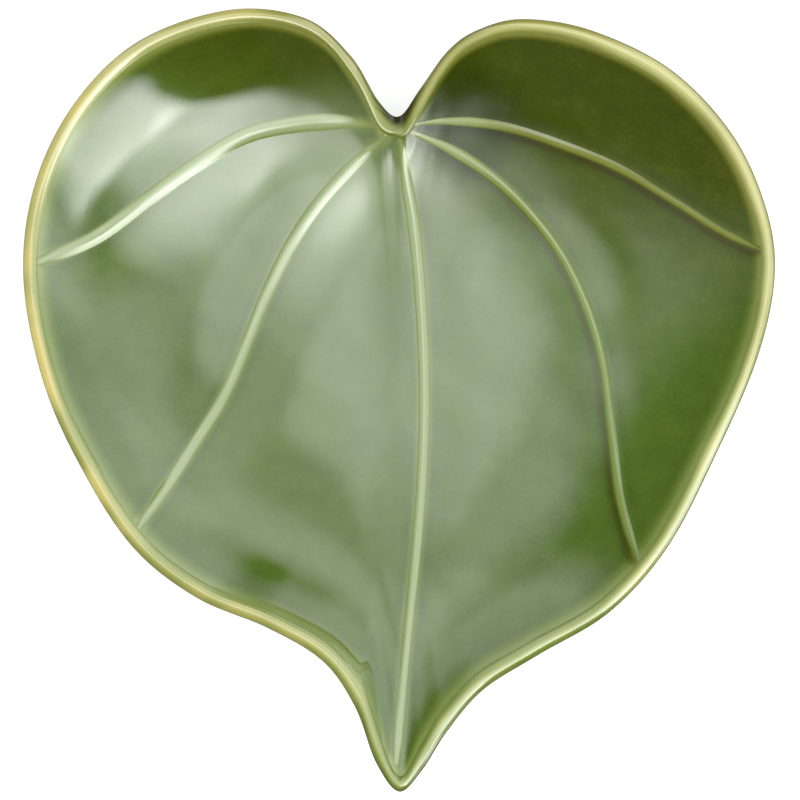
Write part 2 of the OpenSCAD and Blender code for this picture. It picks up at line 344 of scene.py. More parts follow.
# Node helpers: a node with its settings and inputs, sums, ramps and mixes
def addNode(tree, kind, inputs=None, **settings):
    made = tree.nodes.new(kind)
    made.location = (nodeSpacing * len(tree.nodes), 0)
    for name, value in settings.items():
        setattr(made, name, value)
    for name, value in (inputs or {}).items():
        if isinstance(value, bpy.types.NodeSocket):
            tree.links.new(value, made.inputs[name])
        else:
            made.inputs[name].default_value = value
    return made


def calc(tree, operation, *values, clamp=False):
    made = addNode(tree, "ShaderNodeMath", dict(enumerate(values)), operation=operation,
                   use_clamp=clamp)
    return made.outputs[0]


# The sum, product or largest of any number of values
def gather(tree, operation, *values):
    result = values[0]
    for value in values[1:]:
        result = calc(tree, operation, result, value)
    return result


# A value's smooth turn: from where to where, and from what to what
def remap(tree, value, low, high, toLow=0, toHigh=1):
    made = addNode(tree, "ShaderNodeMapRange", {
        "Value": value, "From Min": low, "From Max": high, "To Min": toLow, "To Max": toHigh},
        interpolation_type="SMOOTHSTEP")
    return made.outputs["Result"]


def mixColours(tree, factor, a, b, mode="MIX"):
    made = addNode(tree, "ShaderNodeMix", {0: factor, 6: a, 7: b}, data_type="RGBA",
                   blend_type=mode)
    return made.outputs[2]


def colourRamp(tree, value, stops):
    made = addNode(tree, "ShaderNodeValToRGB", {"Fac": value})
    ramp = made.color_ramp
    while len(ramp.elements) < len(stops):
        ramp.elements.new(.5)
    for element, (place, colour) in zip(ramp.elements, stops):
        element.position = place
        element.color = (*colour, 1)
    return made.outputs["Color"]


def noiseAt(tree, where, noise):
    made = addNode(tree, "ShaderNodeTexNoise", {
        "Vector": where, "Scale": noise["scale"], "Detail": noise["detail"],
        "Roughness": noise.get("roughness", .5)})
    return made.outputs["Fac"]


def objectPlace(tree):
    return addNode(tree, "ShaderNodeTexCoord").outputs["Object"]


def axesOf(tree, where):
    return addNode(tree, "ShaderNodeSeparateXYZ", {"Vector": where}).outputs


def markValue(tree, name):
    return addNode(tree, "ShaderNodeAttribute", attribute_name=name).outputs["Fac"]


def newGroup(name, inputs, outputs):
    group = bpy.data.node_groups.new(name, "ShaderNodeTree")
    for label, kind, value in inputs:
        socket = group.interface.new_socket(label, in_out="INPUT", socket_type=kind)
        socket.default_value = value
    for label, kind in outputs:
        group.interface.new_socket(label, in_out="OUTPUT", socket_type=kind)
    return group, addNode(group, "NodeGroupInput"), addNode(group, "NodeGroupOutput")


def useGroup(tree, group, inputs=None):
    return addNode(tree, "ShaderNodeGroup", inputs, node_tree=group)


# In the dictionaries of the finishes, four numbers are a turn that remap makes: from
# where to where, and from what to what. Two numbers are one half of such a turn

# The glaze over pale clay: cream where it is thin, deep green where it lies thick, as
# shares of the deepest. The mottles make its depth uneven, from broad to fine
glaze = {
    "green": [(0, (.600, .610, .285)), (.083, (.500, .535, .220)), (.208, (.270, .340, .095)),
              (.382, (.150, .220, .034)), (.556, (.086, .150, .016)), (.694, (.038, .080, .006)),
              (1, (.006, .010, .001))],
    "olive": [(0, (.600, .600, .250)), (.083, (.470, .475, .170)), (.208, (.265, .272, .058)),
              (.382, (.145, .150, .014)), (.556, (.052, .066, .002)), (.694, (.032, .040, .001)),
              (1, (.005, .007, .001))],
    "amber": (.66, .45, .12), "sheenColour": (.38, .47, .27), "honey": (.69, .58, .19), "deepest": 1.8,
    "mottles": [{"scale": 28, "detail": 3, "amount": .18},
                {"scale": 150, "detail": 3, "roughness": .55, "amount": .22},
                {"scale": 900, "detail": 3, "roughness": .6, "amount": .20}],
    "ior": 1.5, "coat": 1, "coatRoughness": .025, "coatIor": 1.52, "dulled": .11, "dullCoat": .05,
}


def makeGlazeColour():
    tree, given, out = newGroup("glazeColour", [
        ("Depth", "NodeSocketFloat", 1), ("Olive", "NodeSocketFloat", 0),
        ("Amber", "NodeSocketFloat", 0)], [("Color", "NodeSocketColor")])
    where = objectPlace(tree)
    depth = given.outputs["Depth"]
    for mottle in glaze["mottles"]:
        wave = calc(tree, "MULTIPLY_ADD", noiseAt(tree, where, mottle), mottle["amount"],
                    1 - mottle["amount"] / 2)
        depth = calc(tree, "MULTIPLY", depth, wave)
    place = calc(tree, "DIVIDE", depth, glaze["deepest"], clamp=True)
    green = colourRamp(tree, place, glaze["green"])
    olive = colourRamp(tree, place, glaze["olive"])
    colour = mixColours(tree, given.outputs["Olive"], green, olive)
    colour = mixColours(tree, given.outputs["Amber"], colour, (*glaze["amber"], 1), "MULTIPLY")
    tree.links.new(colour, out.inputs["Color"])
    return tree


# Slight waviness, orange peel and pinholes of a fired glaze. Heights are shares of
# the bump's distance, which is in metres
skin = {
    "waves": {"scale": 60, "detail": 1, "height": .9},
    "peel": {"scale": 420, "detail": 2, "height": .06},
    "pinholes": {"scale": 130, "rim": (.03, .07, -1, 0), "height": .03},
    "clouds": {"scale": 90, "detail": 3, "dull": (.3, .7, .09, .15)},
    "strength": .35, "distance": .0004,
}


def makeGlazeSurface():
    tree, _, out = newGroup("glazeSurface", [], [
        ("Height", "NodeSocketFloat"), ("Roughness", "NodeSocketFloat")])
    where = objectPlace(tree)
    holes = addNode(tree, "ShaderNodeTexVoronoi", {
        "Vector": where, "Scale": skin["pinholes"]["scale"]}).outputs["Distance"]
    reliefs = {"waves": noiseAt(tree, where, skin["waves"]),
               "peel": noiseAt(tree, where, skin["peel"]),
               "pinholes": remap(tree, holes, *skin["pinholes"]["rim"])}
    heights = [calc(tree, "MULTIPLY", relief, skin[name]["height"])
               for name, relief in reliefs.items()]
    tree.links.new(gather(tree, "ADD", *heights), out.inputs["Height"])
    clouds = noiseAt(tree, where, skin["clouds"])
    tree.links.new(remap(tree, clouds, *skin["clouds"]["dull"]), out.inputs["Roughness"])
    return tree


# Glaze beside one vein, by the millimetres away from it: thin on the vein's flanks,
# less so downhill, pooled in the crease, and brown on the downhill side. The brown is
# partly pooled glaze and partly painted shade on the flank that faces from the light
pooling = {
    "thin": (1.5, 3.4, 1, 0), "thinDownhill": (0, 1, 1, .2),
    "rising": (1.9, 2.9), "falling": (3.0, 6.2, 1, 0),
    "brownSide": (-.6, 0, 1, 0), "brownRising": (.7, 1.6), "brownFalling": (2.0, 4.2, 1, 0),
}


def makeVeinPool():
    tree, given, out = newGroup("veinPool", [
        ("Beside", "NodeSocketFloat", 0), ("Downhill", "NodeSocketFloat", 0)], [
        ("Thin", "NodeSocketFloat"), ("Pool", "NodeSocketFloat"), ("Brown", "NodeSocketFloat")])
    beside, downhill = given.outputs["Beside"], given.outputs["Downhill"]
    away = calc(tree, "ABSOLUTE", beside)
    below = calc(tree, "MULTIPLY", beside, downhill)
    effects = {
        "Thin": (remap(tree, away, *pooling["thin"]),
                 remap(tree, downhill, *pooling["thinDownhill"])),
        "Pool": (remap(tree, away, *pooling["rising"]), remap(tree, away, *pooling["falling"])),
        "Brown": (remap(tree, below, *pooling["brownSide"]),
                  remap(tree, away, *pooling["brownRising"]),
                  remap(tree, away, *pooling["brownFalling"])),
    }
    for label, factors in effects.items():
        tree.links.new(gather(tree, "MULTIPLY", *factors), out.inputs[label])
    return tree


glazeColour = makeGlazeColour()
glazeSurface = makeGlazeSurface()
veinPool = makeVeinPool()


def newMaterial(name):
    material = bpy.data.materials.new(name)
    material.use_nodes = True
    material.node_tree.nodes.clear()
    return material, material.node_tree


# Towards the upper right lobe, in metres, the glaze turns olive and its pale fade
# beside the lip gets narrower, in millimetres
lobe = {"lean": .35, "olive": (.045, .11, 0, .88), "fadeReach": (.05, .11, 4.3, 2.4)}


def lobeLean(tree):
    axes = axesOf(tree, objectPlace(tree))
    return calc(tree, "ADD", calc(tree, "MULTIPLY", axes["X"], lobe["lean"]), axes["Y"])


def oliveTurn(tree):
    return remap(tree, lobeLean(tree), *lobe["olive"])


# Spots of the plan where the glaze differs, in metres: a milky wash where the veins
# meet, which is painted sheen, and in the crease to the right of the notch a deeper
# glaze, which is painted shade, and a duller one; duller also on the lip's outside in the notch
spots = {
    "hubSheen": {"at": (-.018, .070), "full": .004, "reach": .036, "share": .42},
    "crease": {"at": (.019, .085), "full": .005, "reach": .026, "share": .35},
    "notch": {"at": (0, .0896), "full": .0045, "reach": .0095},
}


# 1 at a spot of the plan, 0 from its reach on
def nearSpot(tree, spot):
    off = addNode(tree, "ShaderNodeVectorMath", {0: objectPlace(tree), 1: (*spot["at"], 0)},
                  operation="SUBTRACT").outputs[0]
    flat = addNode(tree, "ShaderNodeVectorMath", {0: off, 1: (1, 1, 0)},
                   operation="MULTIPLY").outputs[0]
    away = addNode(tree, "ShaderNodeVectorMath", {0: flat}, operation="LENGTH").outputs["Value"]
    return remap(tree, away, spot["full"], spot["reach"], 1, 0)


# What a spot adds to the glaze: its whole share at the spot, nothing from its reach on
def spotShare(tree, spot):
    return calc(tree, "MULTIPLY", nearSpot(tree, spot), spot["share"])


def glossyGlaze(tree, depth, olive, amber, wash, washColour):
    dull = calc(tree, "MAXIMUM", nearSpot(tree, spots["crease"]), nearSpot(tree, spots["notch"]))
    colour = useGroup(tree, glazeColour, {"Depth": depth, "Olive": olive, "Amber": amber})
    colour = mixColours(tree, wash, colour.outputs["Color"], (*washColour, 1))
    surface = useGroup(tree, glazeSurface)
    rough = calc(tree, "MULTIPLY_ADD", dull, glaze["dulled"], surface.outputs["Roughness"])
    bump = addNode(tree, "ShaderNodeBump", {
        "Strength": skin["strength"], "Distance": skin["distance"],
        "Height": surface.outputs["Height"]})
    shader = addNode(tree, "ShaderNodeBsdfPrincipled", {
        "Base Color": colour, "Roughness": rough, "IOR": glaze["ior"],
        "Coat Weight": remap(tree, dull, 0, 1, glaze["coat"], glaze["dullCoat"]),
        "Coat Roughness": glaze["coatRoughness"], "Coat IOR": glaze["coatIor"],
        "Normal": bump.outputs["Normal"]})
    addNode(tree, "ShaderNodeOutputMaterial", {"Surface": shader.outputs["BSDF"]})


# How much thinner the blade's glaze is beside the lip, less so where that rolls over,
# and how much each vein thins, deepens and browns it. The browning is partly painted shade
bladeTone = {"lipThinner": .56, "rolledLess": .28, "thinner": .20, "deeper": .06, "browner": .9}


def makeLeafGlaze():
    material, tree = newMaterial("leafGlaze")
    reach = remap(tree, lobeLean(tree), *lobe["fadeReach"])
    fade = remap(tree, calc(tree, "DIVIDE", markValue(tree, "fromLip"), reach), 0, 1, 1, 0)
    rolled = calc(tree, "MULTIPLY", markValue(tree, "rollOver"), bladeTone["rolledLess"])
    thinner = calc(tree, "SUBTRACT", bladeTone["lipThinner"], rolled)
    depth = calc(tree, "SUBTRACT", 1, calc(tree, "MULTIPLY", fade, thinner))
    browns = []
    for name in veinShares:
        pool = useGroup(tree, veinPool, {
            "Beside": markValue(tree, "beside_" + name),
            "Downhill": 1 if name.startswith("right") else 0}).outputs
        thinned = calc(tree, "SUBTRACT", 1,
                       calc(tree, "MULTIPLY", pool["Thin"], bladeTone["thinner"]))
        depth = calc(tree, "ADD", calc(tree, "MULTIPLY", depth, thinned),
                     calc(tree, "MULTIPLY", pool["Pool"], bladeTone["deeper"]))
        browns.append(pool["Brown"])
    # Brown on the downhill side of the right veins: partly pooled glaze, partly painted shade
    amber = calc(tree, "MULTIPLY", gather(tree, "MAXIMUM", *browns), bladeTone["browner"])
    # Deeper glaze in the crease to the right of the notch, under the rolled lip: painted shade
    depth = calc(tree, "ADD", depth, spotShare(tree, spots["crease"]))
    # A milky wash where the veins meet: painted sheen
    glossyGlaze(tree, depth, oliveTurn(tree), amber, spotShare(tree, spots["hubSheen"]),
                glaze["sheenColour"])
    return material


# The lip's glaze: over is the share of the way over the lip from its inner edge, and
# across, up and lowerLeft are metres on the plan. Its depths add up. The lip is painted
# darker towards the lower left and lighter towards the upper right, and its outside
# darker towards the bottom: painted shade and painted sheen. Where the lip rolls over at
# the notch, its outside turns nearly black: partly pooled glaze, partly painted shade.
# The toasted colour lies on the left, on the crest and outside
lipTone = {
    "uneven": {"scale": 22, "detail": 2, "depth": (.35, .68, .05, .26)},
    "lowerLeft": (-.15, .12, -.08, .20),
    "notchAcross": (.015, .06, 1, 0), "notchUp": (.04, .08), "notchDepth": .16,
    "seamOver": (.04, .28, 1, 0), "seamAcross": (-.08, -.01, -.02, .22),
    "outsideShadeOver": (.34, .50), "outsideShadeAcross": (-.05, .05, .05, .36),
    "outsideShadeUp": (-.03, .05), "lowerOutsideShade": .66,
    "outside": (.55, .85, 0, .35), "rolledDepth": .24, "rolledOutsideShade": (.33, .60, 0, 1.7),
    "toast": {"scale": 34, "detail": 2, "share": (.36, .60, .35, .95)},
    "toastAcross": (-.10, .02, 1, .30), "toastUp": (-.12, -.04, .35, 1),
    "toastNotch": (0, 1, 1, .3), "toastOver": (.10, .28),
}


def makeLipGlaze():
    material, tree = newMaterial("lipGlaze")
    over, roll = markValue(tree, "overLip"), markValue(tree, "rollOver")
    where = objectPlace(tree)
    axes = axesOf(tree, where)
    across, up = axes["X"], axes["Y"]
    lowerLeft = calc(tree, "MULTIPLY", calc(tree, "ADD", across, up), -1)
    aside = calc(tree, "ABSOLUTE", across)
    nearNotch = calc(tree, "MULTIPLY", remap(tree, aside, *lipTone["notchAcross"]),
                     remap(tree, up, *lipTone["notchUp"]))
    # The lip's outside is deeper towards the bottom and, at the top, towards the right: painted
    # shade
    outsideShade = remap(tree, up, *lipTone["outsideShadeUp"], lipTone["lowerOutsideShade"],
                      remap(tree, across, *lipTone["outsideShadeAcross"]))
    depth = gather(
        tree, "ADD",
        remap(tree, noiseAt(tree, where, lipTone["uneven"]), *lipTone["uneven"]["depth"]),
        calc(tree, "MULTIPLY", nearNotch, lipTone["notchDepth"]),
        # Darker towards the lower left and lighter towards the upper right: painted shade and
        # painted sheen
        remap(tree, lowerLeft, *lipTone["lowerLeft"]),
        calc(tree, "MULTIPLY", remap(tree, over, *lipTone["seamOver"]),
             remap(tree, across, *lipTone["seamAcross"])),
        calc(tree, "MULTIPLY", remap(tree, over, *lipTone["outsideShadeOver"]), outsideShade),
        remap(tree, over, *lipTone["outside"]),
        # Where the lip rolls over at the notch it is deeper, and nearly black on its outside:
        # partly pooled glaze, partly painted shade
        calc(tree, "MULTIPLY", roll, lipTone["rolledDepth"]),
        calc(tree, "MULTIPLY", roll, remap(tree, over, *lipTone["rolledOutsideShade"])))
    toast = gather(
        tree, "MULTIPLY",
        remap(tree, noiseAt(tree, where, lipTone["toast"]), *lipTone["toast"]["share"]),
        remap(tree, across, *lipTone["toastAcross"]), remap(tree, up, *lipTone["toastUp"]),
        remap(tree, nearNotch, *lipTone["toastNotch"]), remap(tree, over, *lipTone["toastOver"]))
    glossyGlaze(tree, depth, oliveTurn(tree), 0, toast, glaze["honey"])
    return material


# The veins' glaze. Shaded is where the dish turns from its lit left to its shaded
# right, in metres. Between the two change the glaze's depth on the crest and at the
# edge, where the edge ends, and how much of the crest's milky wash shows. The deeper
# glaze on the shaded right is painted shade, and the milky wash on the lit left is painted sheen
veinTone = {"shaded": (-.005, .05), "crest": (.38, .50), "edge": (.66, .95),
            "edgeWidth": (.6, .9), "sheenTop": (0, .8, 0, .7), "sheenLit": (1, 0)}


def makeVeinGlaze():
    material, tree = newMaterial("veinGlaze")
    top = markValue(tree, "veinTop")
    shaded = remap(tree, axesOf(tree, objectPlace(tree))["X"], *veinTone["shaded"])
    crest, edge, edgeWidth, lit = (remap(tree, shaded, 0, 1, *veinTone[part])
                                   for part in ("crest", "edge", "edgeWidth", "sheenLit"))
    # Deeper glaze on the crest and edges towards the shaded right: painted shade
    depth = remap(tree, top, 0, edgeWidth, edge, crest)
    # A milky wash on the crest, on the lit left only, and where the veins meet: painted sheen
    crestSheen = calc(tree, "MULTIPLY", remap(tree, top, *veinTone["sheenTop"]), lit)
    crestSheen = calc(tree, "MAXIMUM", crestSheen, spotShare(tree, spots["hubSheen"]))
    glossyGlaze(tree, depth, oliveTurn(tree), 0, crestSheen, glaze["sheenColour"])
    return material


# Bare sandy clay, with the glaze ending in an uneven line near the top of the foot.
# Places on the foot are metres up from the table
clay = {
    "light": (.62, .50, .36), "dark": (.40, .29, .18), "speck": (.12, .075, .045),
    "body": {"scale": 120, "detail": 4, "roughness": .6}, "darkest": .35, "lightest": .65,
    "grit": {"scale": 900, "size": (.10, .22, 1, 0), "strength": .7, "height": -.5},
    "grain": {"scale": 1400, "detail": 3, "height": .5},
    "glazeLine": .0034, "lineBlur": .0001, "lineWander": .0007,
    "wander": {"scale": 45, "detail": 2},
    "runLength": .0012, "runDepth": (.1, .8), "runOlive": .2,
    "roughness": .8, "glazedSmoother": .68, "glazedHeight": 1.2, "strength": .6, "distance": .0002,
}


def makeFootClay():
    material, tree = newMaterial("bareClay")
    where = objectPlace(tree)
    colour = colourRamp(tree, noiseAt(tree, where, clay["body"]),
                        [(clay["darkest"], clay["dark"]), (clay["lightest"], clay["light"])])
    grit = addNode(tree, "ShaderNodeTexVoronoi", {
        "Vector": where, "Scale": clay["grit"]["scale"]}).outputs["Distance"]
    speck = remap(tree, grit, *clay["grit"]["size"])
    colour = mixColours(tree, calc(tree, "MULTIPLY", speck, clay["grit"]["strength"]), colour,
                        (*clay["speck"], 1))
    wander = calc(tree, "SUBTRACT", noiseAt(tree, where, clay["wander"]), .5)
    wander = calc(tree, "MULTIPLY", wander, clay["lineWander"] * 2)
    height = calc(tree, "ADD", axesOf(tree, where)["Z"], wander)
    glazed = remap(tree, height, clay["glazeLine"] - clay["lineBlur"],
                   clay["glazeLine"] + clay["lineBlur"])
    runs = remap(tree, height, clay["glazeLine"], clay["glazeLine"] + clay["runLength"],
                 *clay["runDepth"])
    glazeTone = useGroup(tree, glazeColour, {"Depth": runs, "Olive": clay["runOlive"]})
    colour = mixColours(tree, glazed, colour, glazeTone.outputs["Color"])
    smoother = calc(tree, "MULTIPLY", glazed, clay["glazedSmoother"])
    rough = calc(tree, "SUBTRACT", clay["roughness"], smoother)
    grain = calc(tree, "MULTIPLY", noiseAt(tree, where, clay["grain"]), clay["grain"]["height"])
    grain = calc(tree, "ADD", grain, calc(tree, "MULTIPLY", speck, clay["grit"]["height"]))
    bare = calc(tree, "MULTIPLY", grain, calc(tree, "SUBTRACT", 1, glazed))
    relief = calc(tree, "ADD", bare, calc(tree, "MULTIPLY", glazed, clay["glazedHeight"]))
    bump = addNode(tree, "ShaderNodeBump", {
        "Strength": clay["strength"], "Distance": clay["distance"], "Height": relief})
    shader = addNode(tree, "ShaderNodeBsdfPrincipled", {
        "Base Color": colour, "Roughness": rough, "Normal": bump.outputs["Normal"]})
    addNode(tree, "ShaderNodeOutputMaterial", {"Surface": shader.outputs["BSDF"]})
    return material


# The blade: a clay slab, 1 thick, spun as a disc and pressed over the leaf's form
def makeBlade():
    inside = np.arange(0, edgeReach.max() * blade["edgeRings"][0], blade["ringGap"])
    inside = list(inside / edgeReach.max()) + blade["edgeRings"]
    flat = np.linspace(0, blade["flatShare"], blade["flatRings"], endpoint=False)
    spread = 1 - (1 - np.linspace(0, 1, blade["underRings"])) ** blade["underSpread"]
    under = blade["flatShare"] + (1 - blade["flatShare"]) * spread
    outside = sorted({*flat, *under, blade["lastUnder"]}, reverse=True)
    profile = [(s, 1) for s in inside] + [(s, 0) for s in outside]
    bm = spinBlank(profile, blade["columnsPerKnot"])

    def press(slab):
        at, reach = blankPlace(slab)
        column = rimColumns(at)
        topSide = slab[:, 2] > .5
        innerEdge = lipPoints(column, *lipShares[0])
        outerEdge = lipPoints(column, *lipShares[-1])
        plan = innerEdge[:, :2] * reach[:, None]
        besides = [besidePath(plan, path) for path in veinPaths.values()]
        top = np.column_stack([plan, dishHeight(plan, besides)])
        far = lengthOf(outerEdge)
        v = np.clip((reach - blade["flatShare"]) / (1 - blade["flatShare"]), 0, 1)
        out = np.where(v > 0, baseRadius + (far - baseRadius) * v,
                       baseRadius * reach / blade["flatShare"])
        rise = form["underShare"] * v ** form["underPower"]
        rise = rise + form["underCurlShare"] * v ** form["underCurlPower"]
        height = leaf["footHeight"] + (outerEdge[:, 2] - leaf["footHeight"]) * rise
        below = np.column_stack([column["ray"] * out[:, None], height])
        points = np.where(topSide[:, None], top, below)
        points[:, 2] += handRipple(points) * np.where(topSide, 1, v)
        fromLip = np.where(topSide, lengthOf(innerEdge) * (1 - reach), far - out)
        marks = {"fromLip": fromLip * column["square"], "rollOver": rollOver(column)}
        limit = blade["farFromVein"]
        for name, beside in zip(veinPaths, besides):
            marks["beside_" + name] = np.where(topSide, np.clip(beside, -limit, limit), limit)
        return points, marks

    return pressPiece("leafBlade", bm, press, makeLeafGlaze(), "leaf_blade",
                      blade["sharpAngle"])


# Steps to each leg of the section, with a tight one at both ends. The hoop's reach is
# twice the section's width, so that its middle stays open
lip = {"steps": 5, "tight": .04, "hoopReach": 2, "sharpAngle": 45}


# The lip: its section spun into a hoop and laid along the rim
def makeLip():
    last = len(lipShares) - 1
    at = list(np.linspace(0, last, last * lip["steps"] + 1))
    at = sorted(at + [lip["tight"], last - lip["tight"]])
    section = curveThrough(lipShares, at)
    steps = np.hypot(*np.diff(section, axis=0).T)
    arc = np.concatenate([[0], np.cumsum(steps)]) / steps.sum()
    bm = spinBlank([(lip["hoopReach"] - inward, -down) for inward, down in section],
                   blade["columnsPerKnot"], True)

    def press(hoop):
        at, reach = blankPlace(hoop)
        column = rimColumns(at)
        inward = lip["hoopReach"] - reach
        down = -hoop[:, 2]
        points = lipPoints(column, inward, down)
        points[:, 2] += handRipple(points)
        order = np.argmin((inward[:, None] - section[:, 0]) ** 2
                          + (down[:, None] - section[:, 1]) ** 2, axis=1)
        return points, {"overLip": arc[order], "rollOver": rollOver(column)}

    return pressPiece("rimLip", bm, press, makeLipGlaze(), "rim_lip",
                      lip["sharpAngle"])


# Each pair is for a vein's start at the notch and its end at the lip. The gap between
# rows, the looks ahead and aside, the sink and the fades are in millimetres. What
# isn't a count or a power is a share of the vein's width or height, or of the way out
vein = {
    "sides": 28, "flank": .001, "rowGap": .9, "pathSteps": 12, "reachShare": 1.012,
    "lookAhead": 1, "tiltStep": .4, "sink": .03, "fade": (19, 10),
    "flare": 1.38, "bellPower": 2, "filledShare": .58,
    "taper": (1.05, .80), "midribTaper": (1.05, .62),
    "least": (.12, .7), "pinch": (-.5, -.3), "shown": (.3, .6),
    "broad": {"left_upper_vein": 1.3, "right_upper_vein": .8, "right_lower_vein": .9},
    "low": {"right_upper_vein": .6, "right_lower_vein": .75},
}


# A vein: a capped rod laid along its path, with a bell-shaped back. Both its ends
# run on into the lip
def makeVein(name, label, material):
    path = veinPath(name, vein["pathSteps"], vein["reachShare"])
    runs = np.concatenate([[0], np.cumsum(lengthOf(np.diff(path, axis=0)))])
    total = runs[-1]
    taper = vein["midribTaper"] if name == "midrib" else vein["taper"]
    bm = bmesh.new()
    bmesh.ops.create_cone(bm, cap_ends=True, segments=vein["sides"], radius1=1, radius2=1,
                          depth=1)
    rails = [e for e in bm.edges if heightGap(e) > .5]
    bmesh.ops.subdivide_edges(bm, edges=rails, cuts=int(total / vein["rowGap"]),
                              use_grid_fill=True)

    def along(run):
        return np.stack([np.interp(run, runs, path[:, k]) for k in (0, 1)], 1)

    def press(rod):
        run = (rod[:, 2] + .5) * total
        ahead = along(np.minimum(run + vein["lookAhead"], total))
        behind = along(np.maximum(run - vein["lookAhead"], 0))
        way = (ahead - behind) / lengthOf(ahead - behind)[:, None]
        across = np.stack([way[:, 1], -way[:, 0]], 1)
        fadeIn, fadeOut = vein["fade"]
        ends = np.clip(np.minimum(run / fadeIn, (total - run) / fadeOut), 0, 1)
        full = ends ** 2 * (3 - 2 * ends)
        least, pinch, shown = (np.where(run < total / 2, *vein[pair])
                               for pair in ("least", "pinch", "shown"))
        share = taper[0] + (taper[1] - taper[0]) * run / total
        wide = vein["flare"] * vein["broad"].get(name, 1)
        half = leaf["veinWidth"] / 2 * share * wide * (1 + pinch * (1 - full))
        plan = along(run) + across * (rod[:, 0] * half)[:, None]
        bell = (1 - np.clip(rod[:, 0], -1, 1) ** 2) ** vein["bellPower"]
        tall = leaf["veinHeight"] * vein["filledShare"] * vein["low"].get(name, 1)
        tall = tall * share * (least + (1 - least) * full)
        back = rod[:, 1] > -vein["flank"]
        up = np.where(back, bell * tall, leaf["veinBed"] * rod[:, 1])
        step = vein["tiltStep"]
        tilt = np.stack([(dishHeight(plan + d) - dishHeight(plan - d)) / (2 * step)
                         for d in (np.array([step, 0]), np.array([0, step]))], 1)
        lean = np.sqrt(1 + (tilt ** 2).sum(1))
        points = np.column_stack([plan, dishHeight(plan) + up * lean - vein["sink"]])
        points[:, 2] += handRipple(points)
        return points, {"veinTop": np.where(back, bell * (shown + (1 - shown) * full), 0)}

    return pressPiece(label, bm, press, material, name)


foot = {"columns": 8, "bury": .3, "bevelSegments": 5}  # buried in the blade, in millimetres


# The foot: a square ring spun round, with its lower corners rounded
def makeFoot():
    outer = leaf["footDiameter"] / 2
    inner = outer - leaf["footWidth"]
    top = leaf["footHeight"] + foot["bury"]
    bm = spinBlank([(inner, 0), (outer, 0), (outer, top), (inner, top)], foot["columns"], True)
    low = [e for e in bm.edges if all(v.co.z < foot["bury"] for v in e.verts)
           and reachGap(e) < leaf["footWidth"] / 2]
    bmesh.ops.bevel(bm, geom=low, offset=leaf["footEdge"], segments=foot["bevelSegments"],
                    profile=.5, affect="EDGES", material=-1)

    def press(ring):
        at, reach = blankPlace(ring)
        turn = at * math.tau / rimKnots
        return np.column_stack([reach * np.sin(turn), reach * np.cos(turn), ring[:, 2]]), {}

    return pressPiece("footRing", bm, press, makeFootClay(), "foot_ring")


makeBlade()
makeLip()
veinGlaze = makeVeinGlaze()
for name, label in (("midrib", "midribVein"), ("left_lower_vein", "leftLowerVein"),
                    ("left_upper_vein", "leftUpperVein"), ("right_lower_vein", "rightLowerVein"),
                    ("right_upper_vein", "rightUpperVein")):
    makeVein(name, label, veinGlaze)
makeFoot()

# The studio: panels of light seen in the glaze, by the direction they lie in.
# at and half are shares of the sky disc as seen from the dish, glow is brightness.
# The cards have a glow below zero, because they keep light off. The numbers of all
# panels but notchCard came out of a scratch fit to the photograph's sheen, and were
# then rounded. The sky ends at the horizon, by how far up a direction points
studio = {
    "daylight": (.80, .81, .80), "mirrored": (.97, 1, .99), "surround": .05, "below": .08,
    "horizon": (-.50, -.22),
    "panels": {
        "sky": {"at": (.01, .50), "half": (.65, .18), "turn": -28, "soft": (.35, .80), "glow": 2.0},
        "window": {"at": (.35, -.36), "half": (.38, .20), "turn": -23, "soft": (.65, .35),
                   "glow": 3.2},
        "windowCore": {"at": (.25, -.41), "half": (.20, .16), "turn": -11, "soft": (.35, .60),
                       "glow": 4.0},
        "sideWindow": {"at": (.64, -.46), "half": (.27, .19), "turn": 34, "soft": (.35, .35),
                       "glow": 6.0},
        "wideScreen": {"at": (1.05, -.12), "half": (1.25, .20), "turn": -2, "soft": (1.0, .70),
                       "glow": 2.0},
        "sideScreen": {"at": (.53, .90), "half": (.28, .92), "turn": 31, "soft": (.60, .50),
                       "glow": 1.8},
        "overhead": {"at": (-.03, -.01), "half": (.09, .15), "turn": -53, "soft": (.50, .35),
                     "glow": 1.2},
        "dimScreen": {"at": (-.14, .22), "half": (.16, .17), "turn": -45, "soft": (1.0, .35),
                      "glow": 1.45},
        "wideCard": {"at": (.54, -.58), "half": (.39, .42), "turn": 12, "soft": (.45, .65),
                     "glow": -2.35},
        "smallCard": {"at": (-.16, -.15), "half": (.18, .10), "turn": -73, "soft": (1.0, 1.0),
                      "glow": -.95},
        "notchCard": {"at": (0, .90), "half": (.36, .25), "turn": 0, "soft": (.50, .45),
                      "glow": -2.6},
    },
}


